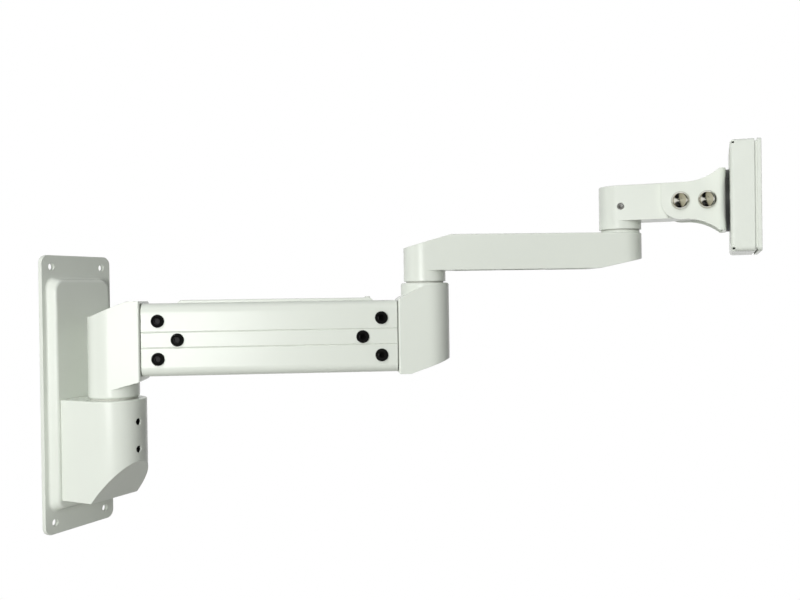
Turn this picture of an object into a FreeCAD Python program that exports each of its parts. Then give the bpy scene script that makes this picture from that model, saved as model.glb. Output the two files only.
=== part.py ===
import FreeCAD, Part
import os
import re
import Sketcher
from FreeCAD import Placement, Rotation, Vector

# Wall mount arm for a monitor. The wall is the plane x = 0 and the row origin is the middle of the
# wall plate's back. +X points into the room and +Z up. Lengths are in millimetres, angles in degrees.

# Driving sizes
SIZES = {
    # wall plate, a pressed sheet with a raised panel
    "plate_width": 98,
    "plate_height": 300,
    "plate_sheet": 4.5,
    "plate_corner": 9,
    "wall_hole_radius": 4,
    "wall_hole_across": 71.5,
    "wall_hole_up": 275,
    "panel_foot_width": 86,
    "panel_foot_height": 251,
    "panel_slope_across": 5.25,
    "panel_slope_up": 3,
    "panel_rise": 9,
    "panel_corner": 11,
    "panel_edge": 3.5,
    "panel_foot_round": 3,
    "panel_wall": 4,
    # bracket that stands on the panel and holds the first spindle
    "base_axis_out": 57,
    "nose_radius": 34,
    "bracket_top_drop": 5.65,
    "bracket_height": 108,
    "nose_cut_rise": 42.4,
    "nose_cut_run": 36,
    "casting_edge": 1.5,
    "fixing_screw_across": 40,
    "fixing_screw_up": 70,
    "fixing_screw_radius": 4,
    "fixing_screw_reach": 25,
    "fixing_head_across": 13,
    "fixing_head_height": 5.3,
    "hexagon_crown": 0.6,
    "hexagon_slope": 30,
    # spindles, their plastic bushes and thrust washers
    "base_spindle_radius": 14,
    "base_spindle_reach": 74,
    "base_spindle_rise": 46,
    "elbow_spindle_radius": 11,
    "elbow_spindle_reach": 62,
    "elbow_spindle_rise": 30,
    "wrist_spindle_radius": 10,
    "wrist_spindle_reach": 27,
    "wrist_spindle_rise": 34,
    "spindle_chamfer": 1.2,
    "bush_wall": 2,
    "base_bush_length": 25,
    "elbow_bush_length": 22,
    "wrist_bush_length": 24,
    "thrust_washer": 1.6,
    "wrist_washer": 1.2,
    "washer_margin": 2.5,
    "bore_floor": 3,
    # friction set screws
    "set_screw_radius": 3.8,
    "set_screw_recess": 2.2,
    "set_screw_socket": 4,
    "upper_set_screw_drop": 23.7,
    "set_screw_spacing": 29.3,
    # clearances
    "running_clearance": 0.05,
    "face_clearance": 0.05,
    "seat_clearance": 0.03,
    "loose_clearance": 0.4,
    # base knuckle
    "knuckle_radius": 26.75,
    "base_face_out": 33,
    "arm_lift": 22.5,
    "face_margin_top": 2.6,
    "base_face_margin_bottom": 5,
    "base_underside_run": 30,
    "base_underside_drop": 8,
    "base_rear_drop": 15.6,
    "base_rear_run": 6.75,
    "base_crown_start": 19.6,
    "knuckle_edge": 2.4,
    "face_bevel": 1.4,
    "arm_tongue_reach": 52,
    # main arm, a hollow extrusion with two grooves along each side
    "main_arm_length": 340,
    "arm_width": 51.3,
    "arm_height": 78,
    "arm_wall": 4,
    "arm_corner": 10,
    "arm_gap": 1.2,
    "groove_spacing": 16.7,
    "groove_width": 1.6,
    "groove_depth": 0.9,
    "arm_screw_near": 18.6,
    "arm_screw_far": 39,
    "arm_screw_spread": 20.2,
    "arm_screw_radius": 4,
    "arm_screw_reach": 15,
    "arm_screw_head_radius": 7,
    "arm_screw_head_height": 4.4,
    "arm_screw_socket": 5,
    "arm_screw_socket_depth": 2.6,
    "screw_head_rim": 0.3,
    # cable cover on top of the main arm
    "cover_start": 70,
    "cover_end_inset": 58.3,
    "cover_width": 27,
    "cover_thickness": 3.2,
    "cover_slope": 3.6,
    "cable_slot_width": 17,
    "cable_slot_inset": 8,
    "clip_width": 2,
    "clip_clearance": 0.3,
    "clip_depth": 6,
    "nub_radius": 3,
    "nub_height": 1.3,
    "nub_edge": 0.9,
    "nub_inset": 6,
    # elbow knuckle
    "elbow_face_back": 32.1,
    "elbow_face_margin_bottom": 2.5,
    "elbow_rise": 18.5,
    "elbow_shoulder_run": 4,
    "elbow_shoulder_rise": 3.2,
    "elbow_slope_rise": 14.2,
    "elbow_heel_run": 13,
    "elbow_toe_rise": 16.2,
    # upper arm
    "upper_arm_length": 222,
    "hub_radius": 23.25,
    "hub_drop": 11.85,
    "beam_height": 39.3,
    "hub_slope_drop": 14.3,
    "hub_slope_run": 28.2,
    "tip_slope_run": 52.3,
    "tip_slope_rise": 10.9,
    "boss_rise": 2.6,
    "boss_radius": 23,
    "beam_edge": 1.6,
    "beam_wall": 5,
    "beam_roof": 6,
    "beam_rib": 4,
    "beam_core_start": 32,
    "beam_core_length": 154,
    "beam_core_count": 3,
    # swivel block that turns on the upper arm's tip and carries the tilt tongue
    "block_radius": 23.1,
    "block_height": 48,
    "block_neck_lift": 8.9,
    "block_neck_reach": 53,
    "swivel_screw_lift": 24.7,
    "swivel_screw_turn": 8,
    "tongue_half_width": 21.7,
    "tongue_slot_wall": 3.7,
    # tilt bracket, a bent sheet with two cheeks and a web
    "tilt_axis_out": 66.1,
    "tilt_height": 27.55,
    "tilt_bolt_spacing": 27.5,
    "tilt_limit": 15,
    "cheek_sheet": 3.5,
    "cheek_inner": 23.4,
    "cheek_half_height": 20,
    "cheek_waist_out": 4.8,
    "web_out": 112.3,
    "web_half_height": 33,
    "web_flat": 6.5,
    "cheek_bend": 3,
    "tilt_bolt_radius": 4,
    "dome_radius": 9.8,
    "dome_height": 5.2,
    "dome_socket": 5,
    "dome_socket_depth": 2.8,
    "tilt_nut_across": 13,
    "tilt_nut_height": 6.8,
    "bolt_tip": 1.5,
    "friction_washer_radius": 12,
    # rotation joint between the tilt bracket and the tray
    "disc_radius": 33.5,
    "disc_thickness": 3.5,
    "disc_notch": 2,
    "disc_notch_angle": 35,
    "rotation_bolt_radius": 5,
    "rotation_head_radius": 8.5,
    "rotation_head_height": 5.5,
    "rotation_head_edge": 1.4,
    "rotation_socket": 6,
    "rotation_nut_across": 16,
    "rotation_nut_height": 4.8,
    # folded tray and the monitor plate that plugs into it
    "plate_margin": 7.5,
    "tray_depth": 23.6,
    "tray_sheet": 2,
    "tray_bend": 4.5,
    "tray_relief": 4.4,
    "plate_groove": 2.6,
    "monitor_sheet": 4,
    "monitor_corner": 4,
    "rim_clearance": 0.3,
    "rim_depth": 12,
    "rim_sheet": 3,
    "rim_corner": 3,
    "rim_screw_across": 50,
    "rim_screw_radius": 1.5,
    "rim_screw_head": 3,
    "rim_screw_socket": 2,
    "monitor_pattern_large": 100,
    "monitor_pattern_small": 75,
    "monitor_hole_radius": 2.5,
    "monitor_head_room": 4.2,
    "access_radius": 16,
    # pose in which the arm hangs
    "main_arm_yaw": 31.5,
    "upper_arm_yaw": 29.6,
    "head_yaw": 7,
}

# Levels of the stacked pieces, each worked out from the one below it
BRACKET_TOP = "(-bracket_top_drop)"
BRACKET_BOTTOM = f"({BRACKET_TOP} - bracket_height)"
KNUCKLE_BOTTOM = f"({BRACKET_TOP} + thrust_washer + face_clearance)"
ARM_BOTTOM = f"({KNUCKLE_BOTTOM} + arm_lift)"
ARM_MIDDLE = f"({ARM_BOTTOM} + arm_height / 2)"
ARM_TOP = f"({ARM_BOTTOM} + arm_height)"
FACE_TOP = f"({ARM_TOP} + face_margin_top)"
ELBOW_TOP = f"({ARM_TOP} + elbow_rise)"
HUB_BOTTOM = f"({ELBOW_TOP} + thrust_washer + face_clearance)"
BEAM_BOTTOM = f"({HUB_BOTTOM} + hub_drop)"
BEAM_TOP = f"({BEAM_BOTTOM} + beam_height)"
BOSS_TOP = f"({BEAM_TOP} + boss_rise)"
BLOCK_BOTTOM = f"({BOSS_TOP} + wrist_washer + face_clearance)"
BLOCK_TOP = f"({BLOCK_BOTTOM} + block_height)"
NECK_BOTTOM = f"({BLOCK_BOTTOM} + block_neck_lift)"
TILT_LEVEL = f"({BLOCK_BOTTOM} + tilt_height)"

# Distances out from the wall, or out from the wrist axis for the head
TRAY_SIZE = "(monitor_pattern_large + 2 * plate_margin)"
PANEL_FRONT = "(plate_sheet + panel_rise)"
PANEL_CREST_WIDTH = "(panel_foot_width - 2 * panel_slope_across)"
PANEL_CREST_HEIGHT = "(panel_foot_height - 2 * panel_slope_up)"
PANEL_MARGIN = "(min(plate_width - panel_foot_width; plate_height - panel_foot_height) / 2)"
NOSE_FRONT = "(base_axis_out + nose_radius)"
ARM_START = "(base_face_out + arm_gap)"
ELBOW_FACE = "(main_arm_length - elbow_face_back)"
ARM_END = f"({ELBOW_FACE} - arm_gap)"
SLOT_START = "(base_face_out + arm_tongue_reach + cable_slot_inset)"
SLOT_END = f"({ELBOW_FACE} - arm_tongue_reach - cable_slot_inset)"
WEB_INNER = "(web_out - cheek_sheet)"
CHEEK_OUTER = "(cheek_inner + cheek_sheet)"
TRAY_BACK = "(web_out + disc_thickness + face_clearance)"
TRAY_RIM = f"({TRAY_BACK} + tray_depth)"
MONITOR_BACK = f"({TRAY_RIM} + plate_groove)"
MONITOR_FRONT = f"({MONITOR_BACK} + monitor_sheet)"
COVER_END = "(main_arm_length - cover_end_inset)"

document = FreeCAD.newDocument("MonitorWallMountArm")
sheet = document.addObject("Spreadsheet::Sheet", "sizes")
for row, (alias, amount) in enumerate(SIZES.items(), start=1):
    sheet.set(f"A{row}", alias.replace("_", " "))
    sheet.set(f"B{row}", str(amount))
    sheet.setAlias(f"B{row}", alias)
document.recompute()

gauge = document.addObject("App::FeaturePython", "gauge")
gauge.addProperty("App::PropertyFloat", "Reading")
pieces = []

TOUCH = 0.01
OVERSHOOT = 1


def size(alias):
    return float(sheet.get(alias))


# A formula in the sheet's names, with each name turned into its cell
def formula(text):
    return re.sub(r"[a-z]\w*", named_cell, text)


def named_cell(found):
    word = found.group(0)
    return f"sizes.{word}" if word in SIZES else word


def bind(target, slot, text):
    target.setExpression(slot, formula(text))


# What a formula comes to, for a first position that the constraints then hold
def reading(text):
    gauge.setExpression("Reading", formula(text))
    gauge.recompute()
    return gauge.Reading


def new_body(name, frame=None):
    body = document.addObject("PartDesign::Body", name)
    body.Label = name
    if frame is not None:
        body.Placement = frame
        pieces.append(body)
    return body


# A sketch on one of its body's own planes. "flat" draws X and Y and faces +Z, "side" draws X and Z and
# faces -Y, "end" draws Y and Z and faces +X. The lift moves it the way it faces, the turn swings it about
# its upright line.
class Drawing:
    PLANES = {"flat": "XY_Plane", "side": "XZ_Plane", "end": "YZ_Plane"}

    def __init__(self, body, name, plane, lift="0", across="0", up="0", turn="0"):
        self.body = body
        self.name = f"{body.Name}_{name}"
        self.sketch = body.newObject("Sketcher::SketchObject", self.name)
        role = self.PLANES[plane]
        support = [feature for feature in body.Origin.OriginFeatures if feature.Role == role][0]
        self.sketch.AttachmentSupport = [(support, "")]
        self.sketch.MapMode = "FlatFace"
        if turn != "0":
            self.sketch.AttachmentOffset = Placement(Vector(), Rotation(Vector(0, 1, 0), reading(turn)))
            bind(self.sketch, "AttachmentOffset.Rotation.Angle", turn)
        bind(self.sketch, "AttachmentOffset.Base.x", across)
        bind(self.sketch, "AttachmentOffset.Base.y", up)
        bind(self.sketch, "AttachmentOffset.Base.z", lift)

    def hold(self, kind, text, *ends):
        constraint = Sketcher.Constraint(kind, *ends, reading(text))
        number = self.sketch.addConstraint(constraint)
        bind(self.sketch, f"Constraints[{number}]", text)

    def pin(self, geometry, point, place):
        self.hold("DistanceX", place[0], -1, 1, geometry, point)
        self.hold("DistanceY", place[1], -1, 1, geometry, point)

    def join(self, first, second):
        self.sketch.addConstraint(Sketcher.Constraint("Coincident", first, 2, second, 1))

    def circle(self, radius, across="0", up="0"):
        centre = Vector(reading(across), reading(up), 0)
        number = self.sketch.addGeometry(Part.Circle(centre, Vector(0, 0, 1), reading(radius)))
        self.pin(number, 3, (across, up))
        self.hold("Radius", radius, number)
        return self

    def line(self, start, end):
        ends = [Vector(reading(place[0]), reading(place[1]), 0) for place in (start, end)]
        number = self.sketch.addGeometry(Part.LineSegment(*ends))
        self.pin(number, 1, start)
        return number

    # Straight lines from point to point, closed at the end
    def polygon(self, *points):
        lines = [self.line(start, end) for start, end in zip(points, points[1:] + points[:1])]
        for first, second in zip(lines, lines[1:] + lines[:1]):
            self.join(first, second)
        return self

    def rectangle(self, left, right, low, high):
        return self.polygon((left, low), (right, low), (right, high), (left, high))

    def hexagon(self, across_flats):
        side = f"({across_flats}) / 2"
        half = f"({across_flats}) / (2 * sqrt(3))"
        tip = f"({across_flats}) / sqrt(3)"
        return self.polygon((side, f"-{half}"), (side, half), ("0", tip), (f"-{side}", half),
                            (f"-{side}", f"-{half}"), ("0", f"-{tip}"))

    # An arc turned anticlockwise from one held point to another about a held centre
    def arc(self, centre, radius, start, end):
        middle = Vector(reading(centre[0]), reading(centre[1]), 0)
        places = [Vector(reading(place[0]), reading(place[1]), 0) for place in (start, end)]
        angles = [(place - middle) for place in places]
        turn = [Vector(1, 0, 0).getAngle(arm) if arm.y >= 0 else -Vector(1, 0, 0).getAngle(arm) for arm in angles]
        rim = Part.Circle(middle, Vector(0, 0, 1), reading(radius))
        return self.sketch.addGeometry(Part.ArcOfCircle(rim, turn[0], turn[1]))

    # A centred rectangle with round corners
    def rounded_rectangle(self, width, height, corner):
        right, top = f"({width}) / 2", f"({height}) / 2"
        inner_right, inner_top = f"({right} - {corner})", f"({top} - {corner})"
        loop = []
        for sign_x, sign_y in (("", "-"), ("", ""), ("-", ""), ("-", "-")):
            side_point = (f"{sign_x}({right})", f"{sign_y}{inner_top}")
            end_point = (f"{sign_x}{inner_right}", f"{sign_y}({top})")
            centre = (f"{sign_x}{inner_right}", f"{sign_y}{inner_top}")
            pair = (end_point, side_point) if (sign_x == "") == (sign_y == "-") else (side_point, end_point)
            loop.append((centre, *pair))
        arcs = [self.arc(centre, corner, start, end) for centre, start, end in loop]
        for number, (centre, start, end) in enumerate(loop):
            following = (number + 1) % len(loop)
            straight = self.line(end, loop[following][1])
            self.join(arcs[number], straight)
            self.join(straight, arcs[following])
            self.pin(straight, 2, loop[following][1])
            self.hold("Radius", corner, arcs[number])
        return self

    # Parallel sides from a flat end to a half circle about the axis point
    def half_round(self, flat, axis, radius):
        outward = reading(axis) > reading(flat)
        low, high = f"-({radius})", f"({radius})"
        first, last = (low, high) if outward else (high, low)
        round_end = self.arc((axis, "0"), radius, (axis, first), (axis, last))
        back = self.line((axis, last), (flat, last))
        end = self.line((flat, last), (flat, first))
        forth = self.line((flat, first), (axis, first))
        for one, other in ((round_end, back), (back, end), (end, forth), (forth, round_end)):
            self.join(one, other)
        self.hold("DistanceX", axis, -1, 1, round_end, 3)
        self.pin(forth, 2, (axis, first))
        return self


def pad(drawing, length, both_ways=False, backward=False):
    feature = drawing.body.newObject("PartDesign::Pad", f"{drawing.name}_pad")
    feature.Profile = drawing.sketch
    bind(feature, "Length", length)
    feature.Reversed = backward
    if both_ways:
        feature.SideType = "Symmetric"
    document.recompute()
    return feature


def removed(body, before, name):
    document.recompute()
    if body.Shape.Volume > before - TOUCH:
        raise ValueError(f"{name} removes nothing")


# A cut goes against the way its sketch faces, or the other way if it is forward
def cut(drawing, length=None, both_ways=False, forward=False):
    before = drawing.body.Shape.Volume
    feature = drawing.body.newObject("PartDesign::Pocket", f"{drawing.name}_cut")
    feature.Profile = drawing.sketch
    feature.Reversed = forward
    if both_ways:
        feature.SideType = "Symmetric"
    if length is None:
        feature.Type = "ThroughAll"
    else:
        bind(feature, "Length", length)
    removed(drawing.body, before, drawing.name)
    return feature


def runs_along(axis):
    def test(edge):
        if len(edge.Vertexes) != 2 or not isinstance(edge.Curve, Part.Line):
            return False
        step = edge.Vertexes[1].Point - edge.Vertexes[0].Point
        return abs(abs(getattr(step, axis)) - step.Length) < TOUCH
    return test


def lies_at(axis, text):
    level = reading(text)

    def test(edge):
        box = edge.BoundBox
        ends = getattr(box, f"{axis.upper()}Min"), getattr(box, f"{axis.upper()}Max")
        return abs(ends[0] - level) < TOUCH and abs(ends[1] - level) < TOUCH
    return test


def lies_beyond(axis, text, sign=1):
    level = reading(text)

    def test(edge):
        return (getattr(edge.CenterOfMass, axis) - level) * sign > TOUCH
    return test


# Edges inside a rectangle of the wall plate's own middle
def within(width, height):
    half = reading(f"({width}) / 2"), reading(f"({height}) / 2")

    def test(edge):
        box = edge.BoundBox
        return max(box.YMax, -box.YMin) < half[0] + TOUCH and max(box.ZMax, -box.ZMin) < half[1] + TOUCH
    return test


def of_radius(text):
    radius = reading(text)

    def test(edge):
        return isinstance(edge.Curve, Part.Circle) and abs(edge.Curve.Radius - radius) < TOUCH
    return test


def either(*tests):
    def test(edge):
        return any(one(edge) for one in tests)
    return test


# A fillet or chamfer on the edges that pass every test
def soften(body, kind, amount, *tests):
    base = body.Tip
    names = [f"Edge{number}" for number, edge in enumerate(base.Shape.Edges, start=1)
             if all(test(edge) for test in tests)]
    if not names:
        raise ValueError(f"{body.Name} has no such edge")
    feature = body.newObject(f"PartDesign::{kind}", f"{body.Name}_{kind.lower()}")
    feature.Base = (base, names)
    bind(feature, "Radius" if kind == "Fillet" else "Size", amount)
    document.recompute()
    return feature


def loft(kind, first, last):
    body = first.body
    before = body.Shape.Volume
    feature = body.newObject(f"PartDesign::{kind}", f"{first.name}_loft")
    feature.Profile = first.sketch
    feature.Sections = [last.sketch]
    document.recompute()
    if kind == "SubtractiveLoft":
        removed(body, before, first.name)
    return feature


# A solid turned about the upright line through its sketch's own origin
def turned(drawing):
    feature = drawing.body.newObject("PartDesign::Revolution", f"{drawing.name}_turned")
    feature.Profile = drawing.sketch
    feature.ReferenceAxis = (drawing.sketch, ["V_Axis"])
    feature.Angle = 360
    document.recompute()
    return feature


# A solid swept out of its body about the same line, over an angle centred on the sketch
def grooved(drawing, angle):
    before = drawing.body.Shape.Volume
    feature = drawing.body.newObject("PartDesign::Groove", f"{drawing.name}_groove")
    feature.Profile = drawing.sketch
    feature.ReferenceAxis = (drawing.sketch, ["V_Axis"])
    feature.Midplane = True
    bind(feature, "Angle", angle)
    removed(drawing.body, before, drawing.name)
    return feature


# The sloped corners on the free face of a hexagon
def crown_hexagon(body, across, top):
    tip = f"(({across}) / sqrt(3) + {OVERSHOOT})"
    flat = f"(({across}) / 2 - hexagon_crown)"
    corner = Drawing(body, "crown", "side")
    corner.polygon((flat, top), (tip, top), (tip, f"(({top}) - ({tip} - {flat}) * tan(hexagon_slope))"))
    grooved(corner, "360")


# A ring or plain disc that stands upright on an axis
def ring(name, frame, outer, inner, low, thickness):
    body = new_body(name, frame)
    drawing = Drawing(body, "outline", "flat", low).circle(outer).circle(inner)
    pad(drawing, thickness)
    return body


# A round pin that stands upright on an axis, chamfered at both ends
def pin(name, frame, radius, low, length):
    body = new_body(name, frame)
    pad(Drawing(body, "outline", "flat", low).circle(radius), length)
    soften(body, "Chamfer", "spindle_chamfer", of_radius(radius))
    return body


# A screw whose head stands on z = 0 and whose shank points down
def screw(name, head, head_height, shank, reach, socket, socket_depth, crown="0"):
    body = new_body(name)
    outline = Drawing(body, "head", "flat")
    hexagonal = head.startswith("hexagon ")
    across = head.removeprefix("hexagon ")
    if hexagonal:
        outline.hexagon(across)
    else:
        outline.circle(head)
    pad(outline, head_height)
    if hexagonal:
        crown_hexagon(body, across, head_height)
    if crown != "0":
        soften(body, "Fillet", crown, lies_at("z", head_height))
    pad(Drawing(body, "shank", "flat").circle(shank), reach, backward=True)
    if socket != "0":
        cut(Drawing(body, "socket", "flat", head_height).hexagon(socket), socket_depth)
    return body


# A hexagon nut that stands on z = 0
def nut(name, across, height, bore):
    body = new_body(name)
    pad(Drawing(body, "outline", "flat").hexagon(across), height)
    crown_hexagon(body, across, height)
    cut(Drawing(body, "bore", "flat", height).circle(bore))
    return body


# Copies of one piece at seats of the form (x, y, z, way its +Z points)
def group(name, frame, master, seats):
    links = []
    for number, (x, y, z, way) in enumerate(seats, start=1):
        link = document.addObject("App::Link", f"{name}_{number}")
        link.LinkedObject = master
        link.Placement = Placement(Vector(), Rotation(Vector(0, 0, 1), way))
        for axis, place in (("x", x), ("y", y), ("z", z)):
            bind(link, f"Placement.Base.{axis}", place)
        links.append(link)
    compound = document.addObject("Part::Compound", name)
    compound.Label = name
    compound.Links = links
    compound.Placement = frame
    pieces.append(compound)
    document.recompute()
    return compound


def frame_at(spot, yaw):
    return Placement(spot, Rotation(Vector(0, 0, 1), size(yaw)))


wall_frame = Placement()
main_frame = frame_at(Vector(size("base_axis_out"), 0, 0), "main_arm_yaw")
upper_frame = frame_at(main_frame.multVec(Vector(size("main_arm_length"), 0, 0)), "upper_arm_yaw")
head_frame = frame_at(upper_frame.multVec(Vector(size("upper_arm_length"), 0, 0)), "head_yaw")
base_frame = Placement(main_frame.Base, Rotation())
elbow_frame = Placement(upper_frame.Base, main_frame.Rotation)
wrist_frame = Placement(head_frame.Base, upper_frame.Rotation)

OUT, LEFT, RIGHT, UP, DOWN = Vector(1, 0, 0), Vector(0, 1, 0), Vector(0, -1, 0), Vector(0, 0, 1), Vector(0, 0, -1)
BACK = Vector(-1, 0, 0)
SIGNS = ("", "-")


# Wall plate and bracket
FIXING_ROWS = [f"({BRACKET_BOTTOM} + (bracket_height {sign} fixing_screw_up) / 2)" for sign in ("-", "+")]
FIXING_SPOTS = [(f"{sign}fixing_screw_across / 2", row) for sign in SIGNS for row in FIXING_ROWS]
SET_SCREW_LEVELS = [f"({BRACKET_TOP} - upper_set_screw_drop)",
                    f"({BRACKET_TOP} - upper_set_screw_drop - set_screw_spacing)"]


def wall_plate():
    body = new_body("wall_plate", wall_frame)
    outline = Drawing(body, "outline", "end")
    outline.rounded_rectangle("plate_width", "plate_height", "plate_corner")
    pad(outline, "plate_sheet")
    soften(body, "Fillet", f"min(casting_edge / 2; {PANEL_MARGIN} / 4)", lies_at("x", "plate_sheet"))
    foot = Drawing(body, "panel_foot", "end", "plate_sheet")
    foot.rounded_rectangle("panel_foot_width", "panel_foot_height", "panel_corner")
    crest = Drawing(body, "panel_crest", "end", PANEL_FRONT)
    crest.rounded_rectangle(PANEL_CREST_WIDTH, PANEL_CREST_HEIGHT, "panel_corner")
    loft("AdditiveLoft", foot, crest)
    soften(body, "Fillet", "panel_edge", lies_at("x", PANEL_FRONT))
    soften(body, "Fillet", f"min(panel_foot_round; {PANEL_MARGIN} / 2)", lies_at("x", "plate_sheet"),
           within("panel_foot_width", "panel_foot_height"))
    mouth = Drawing(body, "hollow_mouth", "end")
    mouth.rounded_rectangle("panel_foot_width - 2 * panel_wall", "panel_foot_height - 2 * panel_wall",
                            "(panel_corner - panel_wall)")
    floor = Drawing(body, "hollow_floor", "end", "panel_rise")
    floor.rounded_rectangle(f"{PANEL_CREST_WIDTH} - 2 * panel_wall", f"{PANEL_CREST_HEIGHT} - 2 * panel_wall",
                            "(panel_corner - panel_wall)")
    loft("SubtractiveLoft", mouth, floor)
    wall_holes = Drawing(body, "wall_holes", "end", PANEL_FRONT)
    for across in SIGNS:
        for up in SIGNS:
            wall_holes.circle("wall_hole_radius", f"{across}wall_hole_across / 2", f"{up}wall_hole_up / 2")
    cut(wall_holes)
    fixing_holes = Drawing(body, "fixing_holes", "end", PANEL_FRONT)
    for across, up in FIXING_SPOTS:
        fixing_holes.circle("fixing_screw_radius + loose_clearance", across, up)
    cut(fixing_holes)
    return body


def wall_bracket():
    body = new_body("wall_bracket", wall_frame)
    outline = Drawing(body, "outline", "flat", BRACKET_BOTTOM)
    outline.half_round(PANEL_FRONT, "base_axis_out", "nose_radius")
    pad(outline, "bracket_height")
    low = f"({BRACKET_BOTTOM} - {OVERSHOOT})"
    far = f"({NOSE_FRONT} + {OVERSHOOT})"
    start = f"({NOSE_FRONT} - nose_cut_run)"
    rise = f"({BRACKET_BOTTOM} + nose_cut_rise)"
    wedge = Drawing(body, "nose_cut", "side")
    wedge.polygon((start, low), (far, low), (far, rise), (NOSE_FRONT, rise), (start, BRACKET_BOTTOM))
    cut(wedge, "4 * nose_radius", both_ways=True)
    soften(body, "Fillet", "casting_edge", lies_at("z", BRACKET_TOP), lies_beyond("x", PANEL_FRONT))
    bore = Drawing(body, "bore", "flat", BRACKET_TOP)
    bore.circle("base_spindle_radius + bush_wall + seat_clearance", "base_axis_out")
    cut(bore, "base_spindle_reach + bore_floor")
    set_screws = Drawing(body, "set_screw_holes", "end", "base_axis_out")
    for level in SET_SCREW_LEVELS:
        set_screws.circle("set_screw_radius + seat_clearance", "0", level)
    cut(set_screws, "nose_radius + panel_rise", forward=True)
    fixing = Drawing(body, "fixing_holes", "end", PANEL_FRONT)
    for across, up in FIXING_SPOTS:
        fixing.circle("fixing_screw_radius + seat_clearance", across, up)
    cut(fixing, "fixing_screw_reach - plate_sheet + bore_floor", forward=True)
    return body


def bracket_fixing_screws():
    master = screw("fixing_screw", "hexagon fixing_head_across", "fixing_head_height", "fixing_screw_radius",
                   "fixing_screw_reach", "0", "0")
    seats = [("panel_rise", across, up, BACK) for across, up in FIXING_SPOTS]
    group("bracket_fixing_screws", wall_frame, master, seats)


# A hexagon socket set screw that starts on z = 0 and points up
def set_screw(name, length):
    body = new_body(name)
    pad(Drawing(body, "outline", "flat").circle("set_screw_radius"), length)
    soften(body, "Chamfer", "spindle_chamfer / 2", lies_at("z", "0"))
    cut(Drawing(body, "socket", "flat", length).hexagon("set_screw_socket"), "set_screw_socket")
    return body


def friction_set_screws():
    inner = "(base_spindle_radius + bush_wall + 2 * seat_clearance)"
    master = set_screw("friction_set_screw", f"nose_radius - {inner} - set_screw_recess")
    seats = [(f"base_axis_out + {inner}", "0", level, OUT) for level in SET_SCREW_LEVELS]
    group("friction_set_screws", wall_frame, master, seats)


# The bush that each set screw presses on
def base_bushes():
    for name, level in zip(("base_bush_upper", "base_bush_lower"), SET_SCREW_LEVELS):
        ring(name, base_frame, "base_spindle_radius + bush_wall", "base_spindle_radius + running_clearance",
             f"{level} - base_bush_length / 2", "base_bush_length")


def base_thrust_washer():
    ring("base_thrust_washer", base_frame, "knuckle_radius - washer_margin",
         "base_spindle_radius + loose_clearance", BRACKET_TOP, "thrust_washer")


# Main arm
def base_spindle():
    pin("base_spindle", main_frame, "base_spindle_radius", f"{BRACKET_TOP} - base_spindle_reach",
        "base_spindle_reach + base_spindle_rise")


# Three screws in a triangle on each side, at one end of the main arm
def arm_screw_spots(knuckle_face, sign):
    near = f"({knuckle_face} {sign} arm_screw_near)"
    far = f"({knuckle_face} {sign} arm_screw_far)"
    return [(near, f"({ARM_MIDDLE} + arm_screw_spread)"), (near, f"({ARM_MIDDLE} - arm_screw_spread)"),
            (far, ARM_MIDDLE)]


BASE_SCREW_SPOTS = arm_screw_spots("base_face_out", "+")
ELBOW_SCREW_SPOTS = arm_screw_spots(ELBOW_FACE, "-")


# The block that fills the end of the extrusion and takes the screws
def arm_tongue(body, face, backward, spots):
    inside_width = "(arm_width - 2 * arm_wall - 2 * seat_clearance)"
    inside_height = "(arm_height - 2 * arm_wall - 2 * seat_clearance)"
    outline = Drawing(body, "tongue", "end", face, up=ARM_MIDDLE)
    outline.rounded_rectangle(inside_width, inside_height, "(arm_corner - arm_wall)")
    pad(outline, "arm_tongue_reach", backward=backward)
    holes = Drawing(body, "screw_holes", "side")
    for along, up in spots:
        holes.circle("arm_screw_radius + seat_clearance", along, up)
    cut(holes, both_ways=True)


def base_knuckle():
    body = new_body("base_knuckle", main_frame)
    post = Drawing(body, "post", "flat", KNUCKLE_BOTTOM).circle("knuckle_radius")
    pad(post, f"{FACE_TOP} - {KNUCKLE_BOTTOM}")
    soften(body, "Fillet", "knuckle_edge", lies_at("z", KNUCKLE_BOTTOM))
    face_bottom = f"({ARM_BOTTOM} - base_face_margin_bottom)"
    block = Drawing(body, "block", "side")
    block.polygon(("base_face_out - base_underside_run", f"({face_bottom} - base_underside_drop)"),
                  ("base_face_out", face_bottom), ("base_face_out", FACE_TOP), ("0", FACE_TOP),
                  ("0", f"({face_bottom} - base_underside_drop)"))
    pad(block, "2 * knuckle_radius", both_ways=True)
    rear = f"({FACE_TOP} - base_rear_drop)"
    above = f"({FACE_TOP} + {OVERSHOOT})"
    slope = Drawing(body, "slope", "side")
    slope.polygon((f"-(knuckle_radius + {OVERSHOOT})", rear), ("base_rear_run - knuckle_radius", rear),
                  ("base_crown_start", FACE_TOP), ("base_crown_start", above),
                  (f"-(knuckle_radius + {OVERSHOOT})", above))
    cut(slope, "4 * knuckle_radius", both_ways=True)
    soften(body, "Chamfer", "face_bevel", lies_at("x", "base_face_out"))
    bore = Drawing(body, "spindle_bore", "flat", KNUCKLE_BOTTOM)
    bore.circle("base_spindle_radius + seat_clearance")
    cut(bore, f"{BRACKET_TOP} + base_spindle_rise - {KNUCKLE_BOTTOM}", forward=True)
    arm_tongue(body, "base_face_out", False, BASE_SCREW_SPOTS)
    return body


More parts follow.
